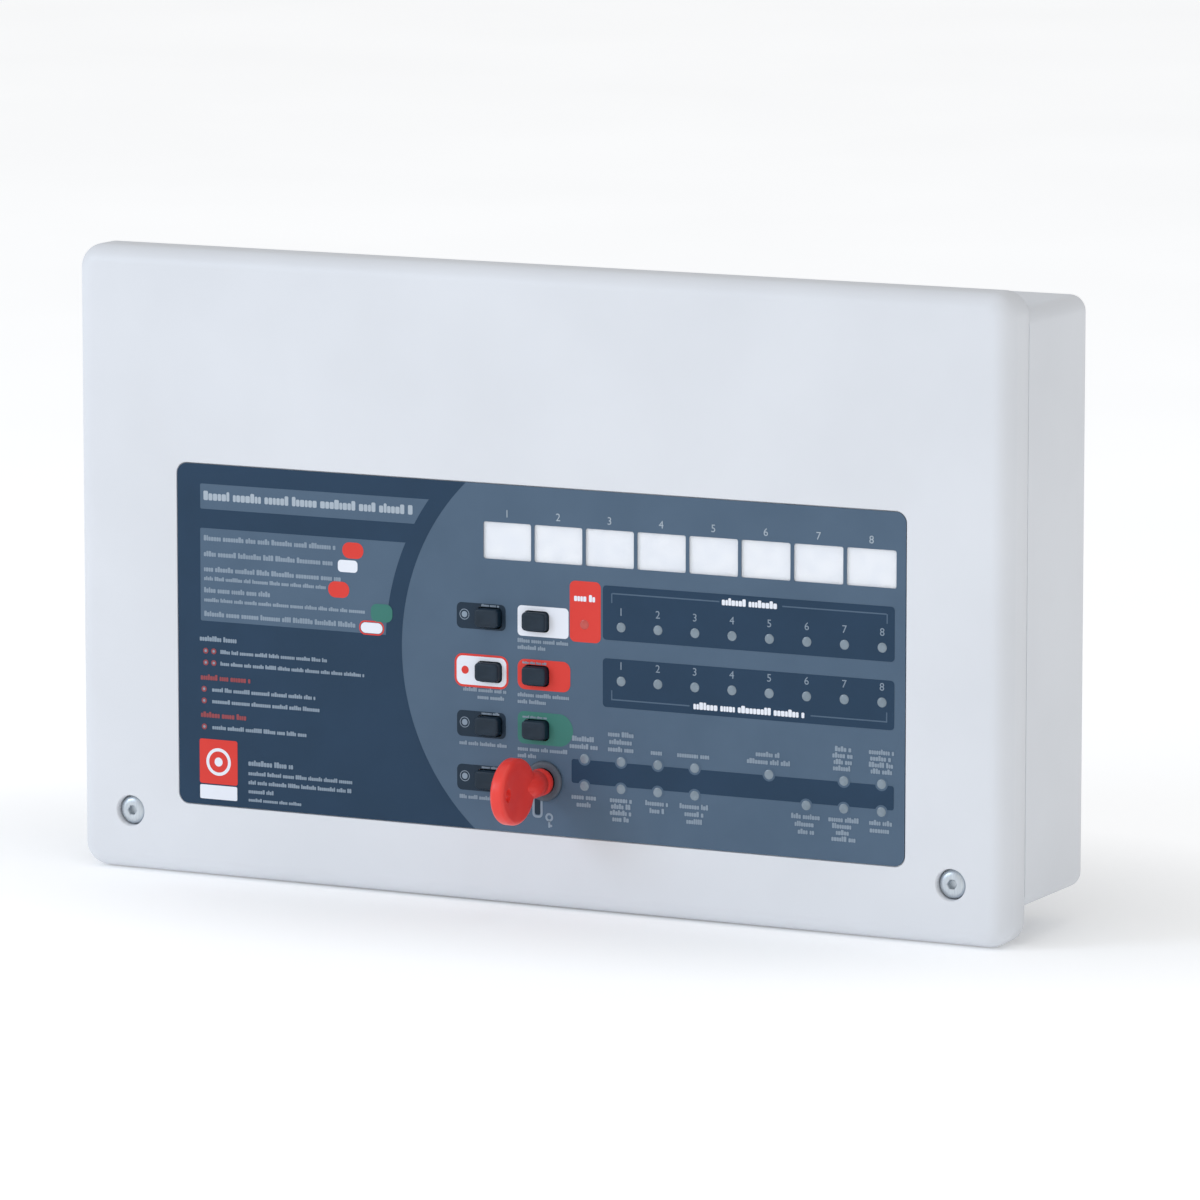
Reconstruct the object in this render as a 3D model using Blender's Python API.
"""Wall-mounted conventional fire alarm control panel, eight zones.

Frame: X to the right, +Y into the wall, Z up. The origin is the point of the
back (wall) face that lies behind the middle of the lid. Lengths below are in
millimetres and become metres where a mesh is made.
"""
import bpy
import bmesh
from math import cos, sin, pi, radians

for stale in list(bpy.data.objects):
    bpy.data.objects.remove(stale)

MM = 0.001
GAP = 0.3                 # clearance between pieces that touch

# ---- driving dimensions -------------------------------------------------
LID_W, LID_H = 380.0, 235.0
BODY_DEPTH = 70.0         # wall face to the lid's front face
LID_DEPTH = 16.4
WALL = 3.0
LID_CORNER, LID_EDGE = 9.0, 7.0
BOX_TOP, BOX_BOTTOM = 111.0, -105.4
BOX_CORNER, BOX_EDGE = 6.0, 4.0
TONGUE_REACH, TONGUE_INSET, TONGUE_THICK = 3.0, 3.4, 1.8
POST_R, PILOT_R = 4.0, 1.8                 # moulded pillars and their screw holes
CORNER_POST_R, CORNER_POST_TOP = 8.2, -60.0
INSERT_R, INSERT_BORE_R = 4.0, 2.75        # brass bushes in the corner posts
INSERT_TOP, INSERT_FOOT = -58.6, -49.0
KEYHOLES = ((-140.0, 46.0), (150.0, 46.0), (60.0, -55.0))
KEYHOLE_MOUTH_R, KEYHOLE_SLOT_R, KEYHOLE_DROP = 4.6, 2.3, 5.0
KNOCKOUT_R, KNOCKOUT_DEPTH, KNOCKOUT_Y = 10.0, 1.0, -24.0
TOP_KNOCKOUT_FIRST, TOP_KNOCKOUT_PITCH, TOP_KNOCKOUTS = -144.0, 36.0, 9
BACK_KNOCKOUT_X, BACK_KNOCKOUT_Z = (20.0, 50.0, 80.0, 110.0), 60.0

LABEL_LEFT, LABEL_RIGHT = -147.0, 150.0
LABEL_BOTTOM, LABEL_TOP = -90.0, 38.0
LABEL_CORNER, LABEL_THICK, RECESS_DEPTH = 4.0, 0.5, 0.9
WINDOW_COUNT, WINDOW_PITCH = 8, 20.85
WINDOW_LEFT, WINDOW_W = -19.1, 19.5
WINDOW_BOTTOM, WINDOW_TOP = 10.4, 24.1
CARD_THICK, CARD_MARGIN = 0.3, 1.6

LED_FIRST_X, LED_PITCH, LED_R = 22.15, 14.85, 1.5
FIRE_Z, FAULT_Z, STATUS_HIGH_Z, STATUS_LOW_Z = -11.2, -31.0, -60.6, -70.7

KEY_X_A, KEY_X_B = -16.7, 2.6
KEY_TOP_Z, KEY_PITCH = -11.3, 20.0
KEY_W, KEY_H, KEY_PROUD, KEY_TRAVEL = 9.6, 6.8, 3.0, 1.0
KEY_GAP_SIDE, KEY_GAP_BELOW = 0.4, 0.95

LOCK_X, LOCK_Z = 5.8, -70.0
LOCK_R, BARREL_R, BEZEL_R = 5.9, 4.2, 7.4
BOW_H, BOW_LEN, BOW_THICK = 24.4, 27.0, 5.6
HUB_R, HUB_LEN, BLADE_LEN = 5.0, 9.8, 15.0

SCREW_X, SCREW_Z = 168.2, -95.0
SCREW_HEAD_R, SCREW_HEAD_H, SCREW_SHANK_R = 5.3, 3.0, 2.4
RECESS_R, SCREW_SEAT, LID_BOSS_R, LID_SHANK_R = 6.4, 4.4, 9.2, 2.8

HINGE_Z, HINGE_Y, PIN_R, CLIP_R = 112.0, -57.0, 1.5, 1.9
HINGE_X = (-120.0, 120.0)
ARM_HALF, PIN_HALF = 3.0, 8.5
CLIP_OFFSET, CLIP_HALF, CLIP_OUTER_R = 5.6, 1.8, 3.1

BOARD_LEFT, BOARD_RIGHT = -42.0, 182.0
BOARD_BOTTOM, BOARD_TOP = -86.0, 98.0
BOARD_FRONT, BOARD_THICK = -52.0, 1.6
PILLARS = ((-34.0, 92.0), (174.0, 92.0), (34.0, -80.0), (174.0, -80.0))
RESTS = ((70.0, 92.0), (-34.0, -34.5))

BATTERY_L, BATTERY_H, BATTERY_T = 178.0, 61.0, 35.0
BATTERY_LEFT, BATTERY_Z = -150.0, (-101.0, -29.0)
TAB_OFFSET, TAB_LEN, TAB_Y = 14.0, 6.0, -20.0
CLAMP_X, CLAMP_Z = -100.0, -34.5
TRANSFORMER_X, TRANSFORMER_Z = (-120.0, -66.0), (52.0, 97.0)
TRANSFORMER_Y = (-36.0, -12.0)
STRAP_FOOT, STRAP_THICK, STRAP_EAR = -8.3, 1.4, 14.0
EARTH_X, EARTH_Z = -150.0, 62.0
CONNECTOR_X, CONNECTOR_W = -36.0, 12.0
TERMINAL_Z, TERMINAL_PITCH = 80.0, 5.0

# ---- levels worked out from them ----------------------------------------
FRONT = -BODY_DEPTH
RIM = FRONT + LID_DEPTH
LID_INSIDE = FRONT + WALL
BOX_MID_Z = (BOX_TOP + BOX_BOTTOM) / 2
BOX_HALF_H = (BOX_TOP - BOX_BOTTOM) / 2
LABEL_BACK = FRONT + RECESS_DEPTH - GAP
LABEL_FRONT = LABEL_BACK - LABEL_THICK
BOARD_BACK = BOARD_FRONT + BOARD_THICK
ON_BOARD = BOARD_FRONT - GAP
FLOOR = -WALL - GAP
BATTERY_FRONT = FLOOR - BATTERY_T
CLAMP_SEAT = BATTERY_FRONT - GAP


# ---- outlines and solids --------------------------------------------------
def arc(cu, cv, r, start, end, steps):
    """Points along a circular arc, angles in degrees."""
    return [(cu + r * cos(radians(start + (end - start) * i / steps)),
             cv + r * sin(radians(start + (end - start) * i / steps)))
            for i in range(steps + 1)]


def rounded(cu, cv, half_u, half_v, r, steps=5):
    """Rounded rectangle, counter-clockwise."""
    r = max(r, 0.05)
    u, v = half_u - r, half_v - r
    points = []
    for su, sv, start in ((1, 1, 0), (-1, 1, 90), (-1, -1, 180), (1, -1, 270)):
        points += arc(cu + su * u, cv + sv * v, r, start, start + 90, steps)
    return points


def circle(cu, cv, r, sides=20):
    return arc(cu, cv, r, 0, 360, sides)[:-1]


def rectangle(u0, u1, v0, v1):
    return [(u0, v0), (u1, v0), (u1, v1), (u0, v1)]


def place(axis, outline, level):
    """Turn an outline at one level along an axis into metres."""
    if axis == "Y":
        return [(u * MM, level * MM, v * MM) for u, v in outline]
    if axis == "X":
        return [(level * MM, u * MM, v * MM) for u, v in outline]
    return [(u * MM, v * MM, level * MM) for u, v in outline]


def loft(name, rings, axis="Y"):
    """Closed solid through rings (outline, level), all with one point count."""
    bm = bmesh.new()
    rows = [[bm.verts.new(p) for p in place(axis, outline, level)]
            for outline, level in rings]
    for low, high in zip(rows, rows[1:]):
        count = len(low)
        for i in range(count):
            j = (i + 1) % count
            bm.faces.new((low[i], low[j], high[j], high[i]))
    bm.faces.new(rows[0])
    bm.faces.new(rows[-1])
    bmesh.ops.recalc_face_normals(bm, faces=bm.faces[:])
    mesh = bpy.data.meshes.new(name)
    bm.to_mesh(mesh)
    bm.free()
    obj = bpy.data.objects.new(name, mesh)
    bpy.context.collection.objects.link(obj)
    return obj


def prism(name, outline, low, high, axis="Y"):
    return loft(name, [(outline, low), (outline, high)], axis)


def block(name, x, y, z):
    return prism(name, rectangle(x[0], x[1], z[0], z[1]), y[0], y[1])


def bake(obj):
    """Replace an object's mesh by what its modifiers make of it."""
    graph = bpy.context.evaluated_depsgraph_get()
    mesh = bpy.data.meshes.new_from_object(obj.evaluated_get(graph))
    obj.modifiers.clear()
    obj.data = mesh
    return obj


def boolean(obj, operation, others):
    """Join to or cut from a solid, one neighbour at a time."""
    for other in others:
        modifier = obj.modifiers.new(operation, "BOOLEAN")
        modifier.operation = operation
        modifier.solver = "EXACT"
        modifier.object = other
        bake(obj)
        bpy.data.objects.remove(other)
    return obj


def cut(obj, *others):
    return boolean(obj, "DIFFERENCE", others)


def join(obj, *others):
    return boolean(obj, "UNION", others)


def merged(name, solids):
    """Several solids that stay clear of each other, as one cutter."""
    bm = bmesh.new()
    for solid in solids:
        bm.from_mesh(solid.data)
        bpy.data.objects.remove(solid)
    mesh = bpy.data.meshes.new(name)
    bm.to_mesh(mesh)
    bm.free()
    obj = bpy.data.objects.new(name, mesh)
    bpy.context.collection.objects.link(obj)
    return obj


def material(name, colour, roughness, metallic=0.0):
    made = bpy.data.materials.new(name)
    made.use_nodes = True
    shader = made.node_tree.nodes["Principled BSDF"]
    shader.inputs["Base Color"].default_value = (*colour, 1.0)
    shader.inputs["Roughness"].default_value = roughness
    shader.inputs["Metallic"].default_value = metallic
    return made


def finish(obj, look, origin=(0.0, 0.0, 0.0), smooth=35):
    """Give a piece its material, its origin and its shading."""
    obj.data.materials.clear()
    obj.data.materials.append(look)
    shift = [value * MM for value in origin]
    for vertex in obj.data.vertices:
        vertex.co.x -= shift[0]
        vertex.co.y -= shift[1]
        vertex.co.z -= shift[2]
    obj.location = shift
    obj.data.shade_smooth()
    obj.data.set_sharp_from_angle(angle=radians(smooth))
    return obj


WHITE_ABS = material("white_abs", (0.74, 0.76, 0.79), 0.42)
NAVY_LABEL = material("navy_label", (0.07, 0.12, 0.18), 0.45)
BLACK_PLASTIC = material("black_plastic", (0.025, 0.03, 0.035), 0.45)
DARK_KEY = material("dark_key", (0.03, 0.05, 0.08), 0.5)
RED_PLASTIC = material("red_plastic", (0.70, 0.06, 0.05), 0.35)
CARD_PAPER = material("card_paper", (0.85, 0.87, 0.90), 0.8)
STEEL = material("steel", (0.55, 0.57, 0.60), 0.3, 1.0)
BRASS = material("brass", (0.72, 0.55, 0.25), 0.3, 1.0)
BOARD_GREEN = material("board_green", (0.02, 0.16, 0.08), 0.4)
TERMINAL_GREEN = material("terminal_green", (0.05, 0.35, 0.18), 0.5)
LED_PLASTIC = material("led_plastic", (0.45, 0.50, 0.55), 0.3)
COPPER = material("copper_winding", (0.60, 0.25, 0.10), 0.35, 0.8)
BATTERY_GREY = material("battery_case", (0.05, 0.05, 0.06), 0.5)
RED_WIRE = material("red_wire", (0.65, 0.03, 0.03), 0.45)
BLACK_WIRE = material("black_wire", (0.02, 0.02, 0.02), 0.45)
GLASS = material("fuse_glass", (0.85, 0.88, 0.90), 0.1)


# ---- back box ---------------------------------------------------------------
def box_outline(inset, corner=BOX_CORNER):
    return rounded(0.0, BOX_MID_Z, LID_W / 2 - inset, BOX_HALF_H - inset, corner - inset)


def box_rings():
    """Outer wall from the wall face forward, over the tongue, and back inside."""
    rings = []
    for step in range(4):
        turn = pi / 2 * step / 3
        rings.append((box_outline(BOX_EDGE * (1 - sin(turn))), -BOX_EDGE * (1 - cos(turn))))
    front = RIM + GAP
    rings.append((box_outline(0.0), front))
    rings.append((box_outline(TONGUE_INSET), front))
    rings.append((box_outline(TONGUE_INSET), front - TONGUE_REACH))
    inside = TONGUE_INSET + TONGUE_THICK
    rings.append((box_outline(inside, inside + 2.0), front - TONGUE_REACH))
    rings.append((box_outline(inside, inside + 2.0), front + 4.0))
    rings.append((box_outline(WALL), front + 6.5))
    rings.append((box_outline(WALL), -WALL))
    return rings


def strap_holes():
    """Screw places in the two ears of the transformer's strap."""
    z = (TRANSFORMER_Z[0] + TRANSFORMER_Z[1]) / 2
    reach = GAP + STRAP_EAR / 2
    return (TRANSFORMER_X[0] - reach, z), (TRANSFORMER_X[1] + reach, z)


def post(x, z, front, r=POST_R, sides=10):
    """A round pillar rooted in the box floor."""
    return prism("post", circle(x, z, r, sides), -WALL + 1.0, front)


def pilot(x, z, front, foot, r=PILOT_R, sides=10):
    """Screw hole down the middle of a pillar."""
    return prism("pilot", circle(x, z, r, sides), front, foot)


def keyhole(x, z):
    """Hanging hole: a round mouth with a slot above it."""
    mouth = prism("mouth", circle(x, z - KEYHOLE_DROP, KEYHOLE_MOUTH_R, 16), 1.0, -WALL - 1.0)
    slot = prism("slot", rounded(x, z, KEYHOLE_SLOT_R, KEYHOLE_DROP + 1.0, KEYHOLE_SLOT_R, 4),
                 1.0, -WALL - 1.0)
    return join(mouth, slot)


def knockout(u, v, surface, axis):
    """Shallow disc that leaves a thin 20 mm knockout in a wall."""
    return prism("knockout", circle(u, v, KNOCKOUT_R, 16), surface - KNOCKOUT_DEPTH,
                 surface + KNOCKOUT_DEPTH, axis)


def hinge_arm(x):
    """Arm from the box's top edge with a pin that the lid's clips hook on."""
    profile = [(-51.0, 108.5), (-51.0, 110.7), (-54.2, 110.9), (-55.6, 112.9),
               (-57.6, 113.2), (-58.4, 112.0), (-57.6, 110.6), (-55.0, 109.0)]
    arm = prism("arm", profile, x - ARM_HALF, x + ARM_HALF, "X")
    pin = prism("pin", circle(HINGE_Y, HINGE_Z, PIN_R, 14), x - PIN_HALF, x + PIN_HALF, "X")
    return join(arm, pin)


def rear_box():
    box = loft("rear_box", box_rings())
    for x, z in PILLARS + RESTS:
        join(box, post(x, z, BOARD_BACK + GAP))
    corners = [(side * SCREW_X, SCREW_Z) for side in (-1, 1)]
    for x, z in corners:
        join(box, post(x, z, CORNER_POST_TOP, CORNER_POST_R, 18))
    join(box, post(CLAMP_X, CLAMP_Z, CLAMP_SEAT))
    low_posts = list(strap_holes()) + [(EARTH_X, EARTH_Z)]
    for x, z in low_posts:
        join(box, post(x, z, STRAP_FOOT + GAP))
    for x in HINGE_X:
        join(box, hinge_arm(x))
    bores = [pilot(x, z, BOARD_BACK, BOARD_BACK + 10.4) for x, z in PILLARS]
    bores += [pilot(x, z, CORNER_POST_TOP - 1.0, INSERT_FOOT + 1.0, INSERT_R + GAP, 18)
              for x, z in corners]
    bores.append(pilot(CLAMP_X, CLAMP_Z, CLAMP_SEAT - 1.0, CLAMP_SEAT + 10.6))
    low_foot = FLOOR - 0.1
    bores += [pilot(x, z, STRAP_FOOT - 0.7, low_foot) for x, z in strap_holes()]
    bores.append(pilot(EARTH_X, EARTH_Z, STRAP_FOOT - 0.7, low_foot, 2.3))
    cut(box, merged("bores", bores))
    cut(box, merged("hangers", [keyhole(x, z) for x, z in KEYHOLES]))
    top = [knockout(TOP_KNOCKOUT_FIRST + TOP_KNOCKOUT_PITCH * i, KNOCKOUT_Y, BOX_TOP, "Z")
           for i in range(TOP_KNOCKOUTS)]
    cut(box, merged("top_knockouts", top))
    back = [knockout(x, BACK_KNOCKOUT_Z, 0.0, "Y") for x in BACK_KNOCKOUT_X]
    cut(box, merged("back_knockouts", back))
    return finish(box, WHITE_ABS)


# ---- lid ----------------------------------------------------------------------
def lid_outline(inset):
    return rounded(0.0, 0.0, LID_W / 2 - inset, LID_H / 2 - inset, LID_CORNER - inset)


def lid_rings():
    rings = []
    for step in range(6):
        turn = pi / 2 * step / 5
        rings.append((lid_outline(LID_EDGE * (1 - sin(turn))),
                      FRONT + LID_EDGE * (1 - cos(turn))))
    rings.append((lid_outline(0.0), RIM))
    rings.append((lid_outline(WALL), RIM))
    inner_edge = LID_EDGE - WALL
    for step in range(4):
        turn = pi / 2 * (3 - step) / 3
        rings.append((lid_outline(WALL + inner_edge * (1 - sin(turn))),
                      LID_INSIDE + inner_edge * (1 - cos(turn))))
    return rings


def key_places():
    """Centres of the seven push keys, column A then column B."""
    places = {}
    for row, name in enumerate(("key_evacuate", "key_delay", "key_disable", "key_test")):
        places[name] = (KEY_X_A, KEY_TOP_Z - KEY_PITCH * row)
    for row, name in enumerate(("key_silence", "key_sounders", "key_reset")):
        places[name] = (KEY_X_B, KEY_TOP_Z - KEY_PITCH * row)
    return places


def key_hole(place, below, low, high):
    """Opening round a key, with room below for the lid's swing."""
    x, z = place
    half_h = (KEY_H + KEY_GAP_SIDE + below) / 2
    centre = z + (KEY_GAP_SIDE - below) / 2
    outline = rounded(x, centre, KEY_W / 2 + KEY_GAP_SIDE, half_h, 1.8, 2)
    return prism("key_hole", outline, low, high)


def label_outline(grow):
    return rounded((LABEL_LEFT + LABEL_RIGHT) / 2, (LABEL_BOTTOM + LABEL_TOP) / 2,
                   (LABEL_RIGHT - LABEL_LEFT) / 2 + grow,
                   (LABEL_TOP - LABEL_BOTTOM) / 2 + grow, LABEL_CORNER + grow)


def card_outline(grow):
    right = WINDOW_LEFT + WINDOW_PITCH * (WINDOW_COUNT - 1) + WINDOW_W
    return rounded((WINDOW_LEFT + right) / 2, (WINDOW_BOTTOM + WINDOW_TOP) / 2,
                   (right - WINDOW_LEFT) / 2 + CARD_MARGIN + grow,
                   (WINDOW_TOP - WINDOW_BOTTOM) / 2 + CARD_MARGIN + grow, 1.0, 2)


def hinge_clip(x):
    """C-shaped clip inside the lid's top edge, open to the back and below."""
    outer = arc(HINGE_Y, HINGE_Z, CLIP_OUTER_R, 20, 250, 12)
    inner = arc(HINGE_Y, HINGE_Z, CLIP_R, 250, 20, 12)
    return prism("clip", outer + inner, x - CLIP_HALF, x + CLIP_HALF, "X")


def led_slot(first, last, z):
    left = LED_FIRST_X + LED_PITCH * first
    right = LED_FIRST_X + LED_PITCH * last
    outline = rounded((left + right) / 2, z, (right - left) / 2 + 2.6, 2.6, 2.5, 3)
    return prism("led_slot", outline, FRONT + 0.5, LID_INSIDE + 1.0)


def front_lid():
    lid = loft("front_lid", lid_rings())
    for side in (-1, 1):
        join(lid, prism("boss", circle(side * SCREW_X, SCREW_Z, LID_BOSS_R, 20),
                        LID_INSIDE - 0.6, CORNER_POST_TOP - 1.0))
    for x in HINGE_X:
        for side in (-1, 1):
            join(lid, hinge_clip(x + side * CLIP_OFFSET))
    cut(lid, prism("recess", label_outline(GAP), FRONT - 1.0, FRONT + RECESS_DEPTH))
    cut(lid, prism("pocket", card_outline(GAP), FRONT + 0.4, FRONT + RECESS_DEPTH + 0.6))
    holes = [prism("seat", circle(side * SCREW_X, SCREW_Z, RECESS_R, 20),
                   FRONT - 1.0, FRONT + SCREW_SEAT) for side in (-1, 1)]
    cut(lid, merged("seats", holes))
    holes = [prism("shank", circle(side * SCREW_X, SCREW_Z, LID_SHANK_R, 14), FRONT, -60.0)
             for side in (-1, 1)]
    holes += [key_hole(place, KEY_GAP_BELOW, FRONT + 0.5, LID_INSIDE + 1.0)
              for place in key_places().values()]
    holes.append(prism("lock", circle(LOCK_X, LOCK_Z, LOCK_R + GAP, 20),
                       FRONT + 0.5, LID_INSIDE + 1.0))
    holes += [led_slot(0, 8, FIRE_Z), led_slot(1, 8, FAULT_Z),
              led_slot(0, 8, STATUS_HIGH_Z), led_slot(0, 8, STATUS_LOW_Z)]
    cut(lid, merged("holes", holes))
    return finish(lid, WHITE_ABS, (0.0, HINGE_Y, HINGE_Z))


def label_overlay():
    label = prism("label_overlay", label_outline(0.0), LABEL_FRONT, LABEL_BACK)
    holes = []
    for i in range(WINDOW_COUNT):
        left = WINDOW_LEFT + WINDOW_PITCH * i
        outline = rounded(left + WINDOW_W / 2, (WINDOW_BOTTOM + WINDOW_TOP) / 2,
                          WINDOW_W / 2, (WINDOW_TOP - WINDOW_BOTTOM) / 2, 0.8, 2)
        holes.append(prism("window", outline, LABEL_FRONT - 1.0, LABEL_BACK + 1.0))
    holes += [key_hole(place, 0.6, LABEL_FRONT - 1.0, LABEL_BACK + 1.0)
              for place in key_places().values()]
    holes.append(prism("lock", circle(LOCK_X, LOCK_Z, LOCK_R + GAP, 20),
                       LABEL_FRONT - 1.0, LABEL_BACK + 1.0))
    cut(label, merged("label_holes", holes))
    return finish(label, NAVY_LABEL, (0.0, HINGE_Y, HINGE_Z))


def zone_card():
    back = FRONT + RECESS_DEPTH + 0.6 - GAP
    card = prism("zone_card", card_outline(0.0), back - CARD_THICK, back)
    return finish(card, CARD_PAPER, (0.0, HINGE_Y, HINGE_Z))


def turned(name, x, z, profile, sides=20):
    """Solid of revolution about a line along Y from (level, radius) pairs."""
    return loft(name, [(circle(x, z, r, sides), y) for y, r in profile])


def lid_screw(name, x):
    """Domed socket-head screw that fastens the lid to the box's corner post."""
    seat = FRONT + SCREW_SEAT - GAP
    top = seat - SCREW_HEAD_H
    screw = turned(name, x, SCREW_Z, [
        (top, 3.4), (top + 0.6, 4.6), (top + 1.6, SCREW_HEAD_R), (seat, SCREW_HEAD_R),
        (seat, SCREW_SHANK_R), (-51.4, SCREW_SHANK_R), (-50.6, 1.7)])
    cut(screw, prism("socket", circle(x, SCREW_Z, 1.75, 6), top - 1.0, top + 2.2))
    return finish(screw, STEEL, (x, top, SCREW_Z))


def insert(name, x):
    """Threaded brass bush in the box's corner post."""
    outer = prism(name, circle(x, SCREW_Z, INSERT_R, 18), INSERT_TOP, INSERT_FOOT)
    cut(outer, prism("bore", circle(x, SCREW_Z, INSERT_BORE_R, 14), INSERT_TOP - 1.4,
                     INSERT_FOOT + 4.0))
    return finish(outer, BRASS)


# ---- key switch ---------------------------------------------------------------
def lock_parts():
    face = LABEL_FRONT - GAP
    body = turned("lock_body", LOCK_X, LOCK_Z, [
        (face - 1.3, BEZEL_R - 0.7), (face - 0.8, BEZEL_R), (face, BEZEL_R),
        (face, LOCK_R), (-57.4, LOCK_R)], 24)
    cut(body, prism("bore", circle(LOCK_X, LOCK_Z, BARREL_R + GAP, 20), face - 3.0, -50.0))
    finish(body, BLACK_PLASTIC, (LOCK_X, face, LOCK_Z))

    nut = prism("lock_nut", circle(LOCK_X, LOCK_Z, 8.6, 6), LID_INSIDE + GAP,
                LID_INSIDE + GAP + 2.6)
    cut(nut, prism("bore", circle(LOCK_X, LOCK_Z, LOCK_R + GAP, 20), -70.0, -60.0))
    finish(nut, STEEL)

    barrel = prism("lock_barrel", circle(LOCK_X, LOCK_Z, BARREL_R, 20), face - 1.6, -56.0)
    cut(barrel, block("keyway", (LOCK_X - 1.0, LOCK_X + 1.0), (face - 3.0, face + 14.2),
                      (LOCK_Z - 3.1, LOCK_Z + 3.1)))
    finish(barrel, STEEL, (LOCK_X, face - 1.6, LOCK_Z))

    contact = prism("switch_contact_block", rounded(LOCK_X, LOCK_Z, 6.5, 6.5, 1.5, 2),
                    -57.1, -54.4)
    cut(contact, prism("bore", circle(LOCK_X, LOCK_Z, BARREL_R + GAP, 20), -58.0, -55.6))
    for side in (-1, 1):
        join(contact, prism("pin", circle(LOCK_X + side * 2.8, LOCK_Z - 4.5, 0.7, 8),
                            -55.0, ON_BOARD))
    finish(contact, BLACK_PLASTIC)
    return face - 1.6


def access_key(barrel_face):
    """Steel blade moulded into a red grip: a round hub and an oval bow."""
    start = barrel_face - GAP
    blade = block("key_blade", (LOCK_X - 0.7, LOCK_X + 0.7),
                  (start - 7.0, barrel_face + BLADE_LEN - 1.5), (LOCK_Z - 2.7, LOCK_Z + 2.7))
    finish(blade, STEEL, (LOCK_X, start, LOCK_Z))

    sides = 32
    middle = start - HUB_LEN - BOW_LEN / 2
    oval = [(middle + BOW_LEN / 2 * cos(2 * pi * i / sides),
             LOCK_Z + BOW_H / 2 * sin(2 * pi * i / sides)) for i in range(sides)]
    small = [(middle + (y - middle) * 0.92, LOCK_Z + (z - LOCK_Z) * 0.92) for y, z in oval]
    half = BOW_THICK / 2
    bow = loft("key_bow", [(small, LOCK_X - half), (oval, LOCK_X - half + 1.1),
                           (oval, LOCK_X + half - 1.1), (small, LOCK_X + half)], "X")
    hub = prism("hub", circle(LOCK_X, LOCK_Z, HUB_R, 20), start, start - HUB_LEN - 4.0)
    join(bow, hub)
    cut(bow, block("slot", (LOCK_X - 1.0, LOCK_X + 1.0), (start - 7.3, start + 1.0),
                   (LOCK_Z - 3.0, LOCK_Z + 3.0)))
    ring = prism("ring_hole", circle(middle - BOW_LEN * 0.30, LOCK_Z, 2.4, 14),
                 LOCK_X - 6.0, LOCK_X + 6.0, "X")
    cut(bow, ring)
    finish(bow, RED_PLASTIC, (LOCK_X, start, LOCK_Z))


# ---- push keys ------------------------------------------------------------------
def push_key(name, x, z):
    """Moulded cap on a stem that runs in the switch under it."""
    top = FRONT - KEY_PROUD
    foot = -63.0
    cap = loft(name, [(rounded(x, z, KEY_W / 2 - 0.6, KEY_H / 2 - 0.6, 1.3, 3), top),
                      (rounded(x, z, KEY_W / 2, KEY_H / 2, 1.5, 3), top + 0.7),
                      (rounded(x, z, KEY_W / 2, KEY_H / 2, 1.5, 3), foot)])
    join(cap, prism("stem", circle(x, z, 1.6, 12), foot - 0.5, -55.6))
    return finish(cap, DARK_KEY, (x, top, z))


def switch_column(name, x, rows):
    """Tactile switches in line, moulded on one carrier strip."""
    heights = [KEY_TOP_Z - KEY_PITCH * row for row in range(rows)]
    strip = block(name, (x - 2.2, x + 2.2), (ON_BOARD, -54.2), (heights[-1] - 4.0, heights[0] + 4.0))
    for z in heights:
        join(strip, prism("switch", rounded(x, z, 3.1, 3.1, 0.4, 2), ON_BOARD - 0.4, -57.3))
    wells = [prism("well", circle(x, z, 1.6 + GAP, 12), -58.0, -53.6) for z in heights]
    cut(strip, merged("wells", wells))
    return finish(strip, BLACK_PLASTIC)


# ---- circuit board ----------------------------------------------------------------
def led_row(name, columns, z):
    """Spacer strip with one domed lamp for each column."""
    places = [LED_FIRST_X + LED_PITCH * column for column in columns]
    strip = prism(name, rectangle(places[0] - 4.0, places[-1] + 4.0, z - 2.2, z + 2.2),
                  ON_BOARD, -58.0)
    for x in places:
        join(strip, turned("led", x, z, [(-57.0, LED_R), (-65.6, LED_R), (-66.4, 0.7)], 8))
    return finish(strip, LED_PLASTIC)


def main_board():
    outline = rounded((BOARD_LEFT + BOARD_RIGHT) / 2, (BOARD_BOTTOM + BOARD_TOP) / 2,
                      (BOARD_RIGHT - BOARD_LEFT) / 2, (BOARD_TOP - BOARD_BOTTOM) / 2, 2.0, 2)
    board = prism("main_board", outline, BOARD_FRONT, BOARD_BACK)
    holes = [prism("hole", circle(x, z, PILOT_R, 10), BOARD_FRONT - 1.0, BOARD_BACK + 1.0)
             for x, z in PILLARS]
    cut(board, merged("board_holes", holes))
    return finish(board, BOARD_GREEN)


def pan_screw(name, x, z, seat, reach, r=2.9):
    """Pan-head screw whose head sits a hair off what it holds."""
    head = seat - GAP
    screw = turned(name, x, z, [(head - 2.0, r - 0.9), (head - 1.4, r - 0.1), (head, r),
                                (head, 1.45), (head + reach, 1.45)], 12)
    return finish(screw, STEEL)


def terminal_row(name, left, ways):
    """Stepped terminal strip: the lower front step takes the wires."""
    z, pitch = TERMINAL_Z, TERMINAL_PITCH
    right = left + ways * pitch
    profile = [(ON_BOARD, z - 6.0), (ON_BOARD, z + 6.5), (-59.0, z + 6.5),
               (-59.0, z + 3.5), (-63.0, z + 1.5), (-63.0, z - 4.0), (-61.0, z - 6.0)]
    strip = prism(name, profile, left, right, "X")
    wells = [prism("well", circle(left + pitch * (i + 0.5), z - 1.2, 1.5, 8), -64.0, -61.0)
             for i in range(ways)]
    cut(strip, merged("wells", wells))
    return finish(strip, TERMINAL_GREEN)


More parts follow.
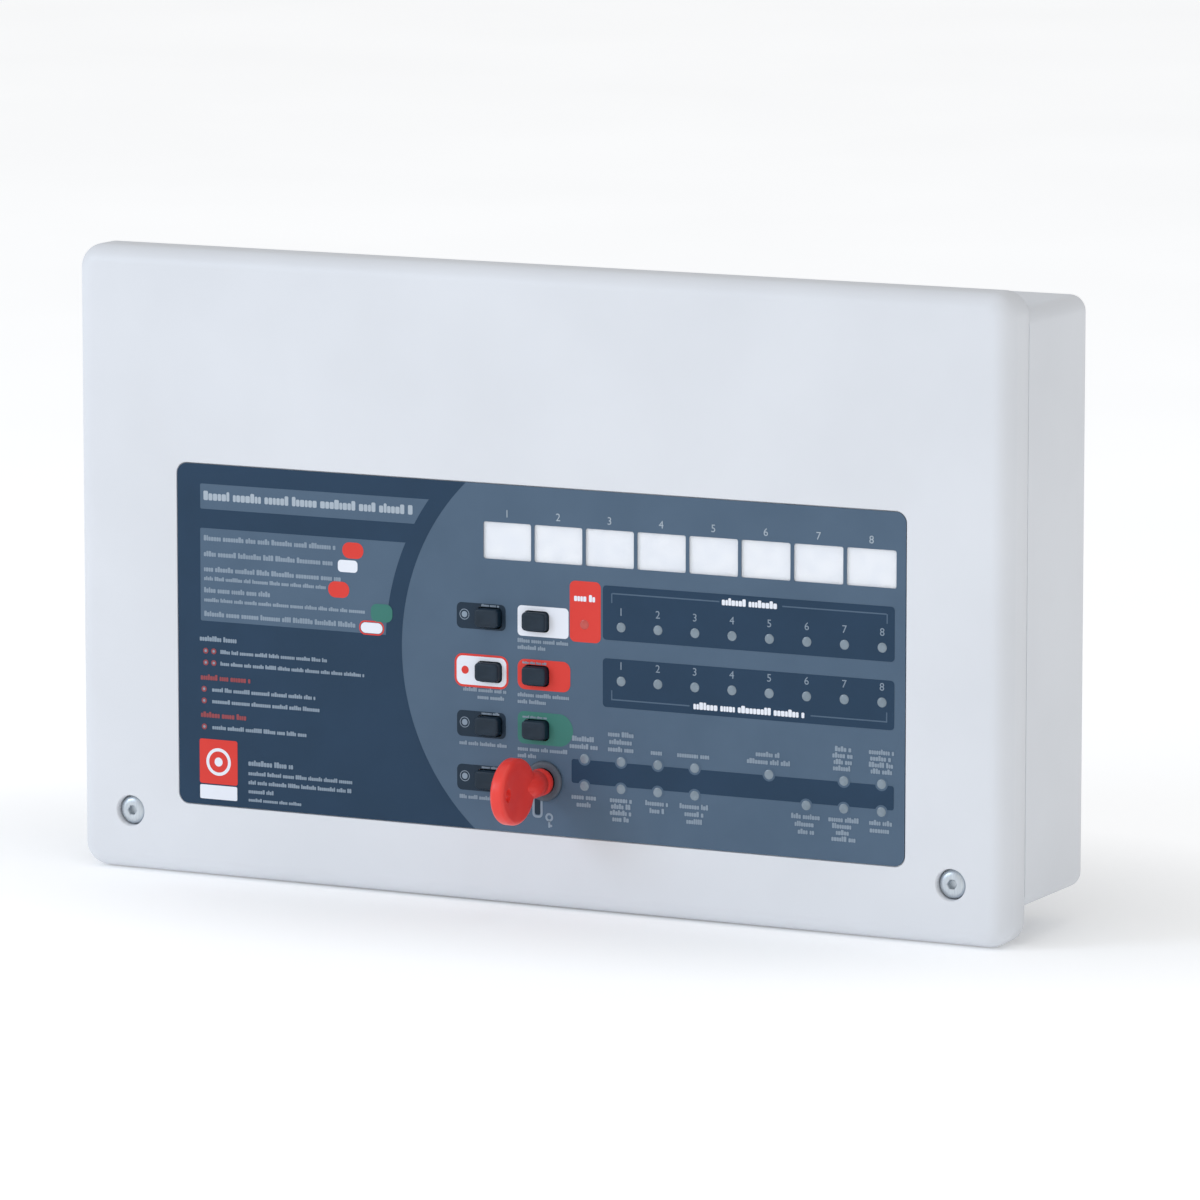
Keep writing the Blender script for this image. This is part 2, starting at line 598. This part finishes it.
def heatsink():
    """Finned aluminium block behind the regulator."""
    outline = []
    left, pitch, fins = -26.0, 4.0, 6
    for i in range(fins):
        x = left + pitch * i
        outline += [(x, 66.0), (x + 1.6, 66.0)]
        if i < fins - 1:
            outline += [(x + 1.6, 56.0), (x + pitch, 56.0)]
    outline += [(left + pitch * (fins - 1) + 1.6, 53.5), (left, 53.5)]
    sink = prism("regulator_heatsink", outline, ON_BOARD, -64.0)
    return finish(sink, STEEL)


def board_fuse():
    """Glass fuse with metal caps, in a moulded holder."""
    y, z, cap_r, tube_r = -58.6, 42.5, 2.5, 2.2
    holder = block("fuse_holder", (4.0, 30.0), (ON_BOARD, y + 0.4), (z - 4.5, z + 4.5))
    cut(holder, prism("trough", circle(y, z, cap_r + 0.4, 14), 3.0, 31.0, "X"))
    finish(holder, BLACK_PLASTIC)
    steps = ((7.0, cap_r), (11.5, cap_r), (11.5, tube_r), (22.5, tube_r), (22.5, cap_r),
             (27.0, cap_r))
    fuse = loft("battery_fuse", [(circle(y, z, r, 12), x) for x, r in steps], "X")
    finish(fuse, GLASS)


def board_parts():
    main_board()
    for i, (x, z) in enumerate(PILLARS):
        pan_screw("board_screw_%d" % (i + 1), x, z, BOARD_FRONT, 9.0)
    led_row("fire_led_row", range(0, 9), FIRE_Z)
    led_row("fault_led_row", range(1, 9), FAULT_Z)
    led_row("status_led_row_upper", (0, 1, 2, 3, 5, 7, 8), STATUS_HIGH_Z)
    led_row("status_led_row_lower", (0, 1, 2, 3, 6, 7, 8), STATUS_LOW_Z)
    switch_column("switch_column_a", KEY_X_A, 4)
    switch_column("switch_column_b", KEY_X_B, 3)
    for name, (x, z) in key_places().items():
        push_key(name, x, z)
    terminal_row("zone_terminals", -24.0, 16)
    terminal_row("sounder_terminals", 78.0, 8)
    terminal_row("relay_terminals", 124.0, 9)
    heatsink()
    board_fuse()
    chip = prism("processor", rounded(72.0, 44.0, 12.0, 12.0, 1.0, 2), ON_BOARD, -56.0)
    finish(chip, BLACK_PLASTIC)
    for name, x in (("fire_relay", 108.0), ("fault_relay", 126.0)):
        finish(prism(name, rounded(x, 50.0, 6.5, 10.0, 0.6, 2), ON_BOARD, -64.4), BLACK_PLASTIC)
    buzzer = turned("buzzer", 158.0, 48.0, [(ON_BOARD, 11.5), (-63.0, 11.5), (-64.0, 10.8)], 24)
    cut(buzzer, prism("port", circle(158.0, 48.0, 1.6, 10), -65.0, -61.0))
    finish(buzzer, BLACK_PLASTIC)
    can = turned("smoothing_capacitor", 44.0, 46.0, [(ON_BOARD, 7.6), (-53.6, 8.0), (-65.0, 8.0),
                                                     (-65.6, 7.3)], 20)
    finish(can, BATTERY_GREY)
    plug = block("power_connector", (CONNECTOR_X, CONNECTOR_X + CONNECTOR_W),
                 (ON_BOARD, -60.0), (10.0, 34.0))
    finish(plug, BLACK_PLASTIC)


# ---- power supply --------------------------------------------------------------------
def transformer():
    """Laminated E-I core with its winding round the centre leg, in a steel strap."""
    (x0, x1), (z0, z1), (y0, y1) = TRANSFORMER_X, TRANSFORMER_Z, TRANSFORMER_Y
    leg, gap, yoke = 8.5, 9.5, 9.0
    core = block("transformer_core", (x0, x1), (y0, y1), (z0, z1))
    windows = [block("window", (left, left + gap), (y0 - 1, y1 + 1), (z0 + yoke, z1 - yoke))
               for left in (x0 + leg, x1 - leg - gap)]
    cut(core, merged("windows", windows))
    finish(core, STEEL)

    proud = 8.5
    outline = rounded((x0 + x1) / 2, (y0 + y1) / 2, (x1 - x0) / 2 - leg - GAP,
                      (y1 - y0) / 2 + proud, 3.0, 3)
    coil = prism("transformer_winding", outline, z0 + yoke + GAP, z1 - yoke - GAP, "Z")
    cut(coil, prism("leg", rectangle(x0 + leg + gap - GAP, x1 - leg - gap + GAP,
                                     y0 - GAP, y1 + GAP), z0, z1, "Z"))
    finish(coil, COPPER)

    left, right, face = x0 - GAP, x1 + GAP, y0 - GAP
    foot, thick, ear = STRAP_FOOT, STRAP_THICK, STRAP_EAR
    profile = [(left - ear, foot), (left, foot), (left, face), (right, face), (right, foot),
               (right + ear, foot), (right + ear, foot - thick), (right + thick, foot - thick),
               (right + thick, face - thick), (left - thick, face - thick),
               (left - thick, foot - thick), (left - ear, foot - thick)]
    strap = prism("transformer_strap", profile, z0 + 1.0, z1 - 1.0, "Z")
    cut(strap, block("window", (x0 + leg - 0.5, x1 - leg + 0.5), (face - 4.0, face + 1.0),
                     (z0 + yoke - 0.5, z1 - yoke + 0.5)))
    holes = [prism("hole", circle(x, z, PILOT_R, 10), foot - 3.0, foot + 1.0)
             for x, z in strap_holes()]
    cut(strap, merged("strap_holes", holes))
    finish(strap, STEEL)
    for name, (x, z) in zip(("strap_screw_left", "strap_screw_right"), strap_holes()):
        pan_screw(name, x, z, foot - thick, 5.4)


def mains_parts():
    """Mains inlet terminals and the earth stud."""
    profile = [(FLOOR, 78.0), (-24.0, 78.0), (-24.0, 84.0), (-17.0, 90.0), (FLOOR, 90.0)]
    inlet = prism("mains_terminal", profile, -180.0, -144.0, "X")
    wells = [prism("well", circle(-174.0 + 12.0 * i, 81.2, 2.4, 10), -25.0, -20.0)
             for i in range(3)]
    cut(inlet, merged("wells", wells))
    finish(inlet, BLACK_PLASTIC)
    base = STRAP_FOOT - GAP
    stud = prism("earth_stud", circle(EARTH_X, EARTH_Z, 4.0, 6), base, base - 3.0)
    join(stud, turned("thread", EARTH_X, EARTH_Z, [(-3.8, 1.9), (-20.0, 1.9), (-21.0, 1.3)], 12))
    finish(stud, BRASS)


def battery(name, z):
    """Sealed lead-acid block with two blade terminals on its left end."""
    left, middle = BATTERY_LEFT, z + BATTERY_H / 2
    outline = rounded(left + BATTERY_L / 2, middle, BATTERY_L / 2, BATTERY_H / 2, 1.5, 2)
    case = prism(name, outline, FLOOR, BATTERY_FRONT)
    for side in (-1, 1):
        tab = middle + side * TAB_OFFSET
        join(case, block("tab", (left - TAB_LEN, left + 1.0), (TAB_Y - 0.4, TAB_Y + 0.4),
                         (tab - 2.4, tab + 2.4)))
    return finish(case, BATTERY_GREY)


def battery_parts():
    for name, z in zip(("battery_lower", "battery_upper"), BATTERY_Z):
        battery(name, z)
    seat, front = CLAMP_SEAT - GAP, CLAMP_SEAT - GAP - 1.8
    clamp = prism("battery_clamp", rounded(CLAMP_X, CLAMP_Z, 9.0, 26.0, 2.0, 2), seat, front)
    cut(clamp, prism("hole", circle(CLAMP_X, CLAMP_Z, PILOT_R, 10), seat + 1.0, front - 1.0))
    finish(clamp, STEEL)
    pan_screw("clamp_screw", CLAMP_X, CLAMP_Z, front, 8.0)


def wire(name, look, points, r=1.2):
    """Insulated lead along a smooth path through a few points."""
    count = len(points) - 1
    curve = bpy.data.curves.new(name, "CURVE")
    curve.dimensions = "3D"
    curve.bevel_depth = r * MM
    curve.bevel_resolution = 0
    curve.use_fill_caps = True
    spline = curve.splines.new("POLY")
    path = []
    for i in range(count):
        a, b = points[max(i - 1, 0)], points[i]
        c, d = points[i + 1], points[min(i + 2, count)]
        for step in range(3):
            t = step / 3
            path.append([0.5 * (2 * b[k] + (c[k] - a[k]) * t
                                + (2 * a[k] - 5 * b[k] + 4 * c[k] - d[k]) * t * t
                                + (3 * b[k] - a[k] - 3 * c[k] + d[k]) * t ** 3)
                         for k in range(3)])
    path.append(points[-1])
    spline.points.add(len(path) - 1)
    for target, point in zip(spline.points, path):
        target.co = (point[0] * MM, point[1] * MM, point[2] * MM, 1.0)
    obj = bpy.data.objects.new(name, curve)
    bpy.context.collection.objects.link(obj)
    curve.materials.append(look)
    return obj


def wiring():
    """Leads held between two fixed ends inside the box."""
    tab = BATTERY_LEFT - TAB_LEN - GAP
    lower, upper = (z + BATTERY_H / 2 for z in BATTERY_Z)
    link_low, link_high = lower + TAB_OFFSET, upper - TAB_OFFSET
    wire("battery_link_lead", BLACK_WIRE, [
        (tab, TAB_Y, link_low), (tab - 3.0, TAB_Y, link_low), (tab - 8.0, TAB_Y, link_low + 5.0),
        (tab - 9.0, TAB_Y, link_low + 13.0), (tab - 9.0, TAB_Y, link_high - 13.0),
        (tab - 8.0, TAB_Y, link_high - 5.0), (tab - 3.0, TAB_Y, link_high),
        (tab, TAB_Y, link_high)])
    start, end, level = upper + TAB_OFFSET, 21.0, -56.0
    plug = CONNECTOR_X - GAP
    wire("battery_lead_red", RED_WIRE, [
        (tab, TAB_Y, start), (tab - 3.0, TAB_Y, start), (tab - 7.0, TAB_Y - 3.0, start + 3.0),
        (tab - 8.0, TAB_Y - 14.0, start + 10.0), (tab + 4.0, -43.0, start + 14.0),
        (-120.0, -44.5, 24.0), (-80.0, -44.5, 20.0), (-56.0, -48.0, end), (-46.0, level, end),
        (plug, level, end)])
    start = lower - TAB_OFFSET
    wire("battery_lead_black", BLACK_WIRE, [
        (tab, TAB_Y, start), (tab - 3.0, TAB_Y, start), (tab - 9.0, TAB_Y - 3.0, start + 6.0),
        (tab - 16.0, -28.0, start + 20.0), (tab - 20.0, -32.0, -40.0), (tab - 18.0, -36.0, -8.0),
        (tab - 4.0, -43.0, 6.0), (-120.0, -44.5, 12.0), (-80.0, -44.5, 13.0),
        (-56.0, -48.0, 14.5), (-46.0, level, 15.0), (plug, level, 15.0)])
    left, right = TRANSFORMER_X
    middle = (TRANSFORMER_Z[0] + TRANSFORMER_Z[1]) / 2
    side = 8.5
    wire("transformer_mains_lead", BLACK_WIRE, [
        (-144.0 + GAP, -12.0, 84.0), (-141.0, -12.0, 84.0), (-136.0, -16.0, 86.0),
        (-131.0, -28.0, 88.0), (-125.0, -41.0, 83.0), (-118.0, -42.5, middle + 2.0),
        (left + side - 3.0, -41.0, middle),
        (left + side, -41.0, middle)])
    wire("transformer_output_lead", RED_WIRE, [
        (right - side, -41.0, middle), (right - side + 3.0, -41.0, middle),
        (-66.0, -44.0, middle - 2.0), (-57.0, -48.0, 66.0),
        (-51.0, -51.0, 48.0), (-48.5, -54.5, 36.0), (-44.0, level, 30.0), (plug, level, 29.0)])


def build():
    rear_box()
    for name, x in (("insert_left", -SCREW_X), ("insert_right", SCREW_X)):
        insert(name, x)
    front_lid()
    label_overlay()
    zone_card()
    for side, x in (("left", -SCREW_X), ("right", SCREW_X)):
        lid_screw("lid_screw_" + side, x)
    access_key(lock_parts())
    board_parts()
    transformer()
    mains_parts()
    battery_parts()
    wiring()


build()
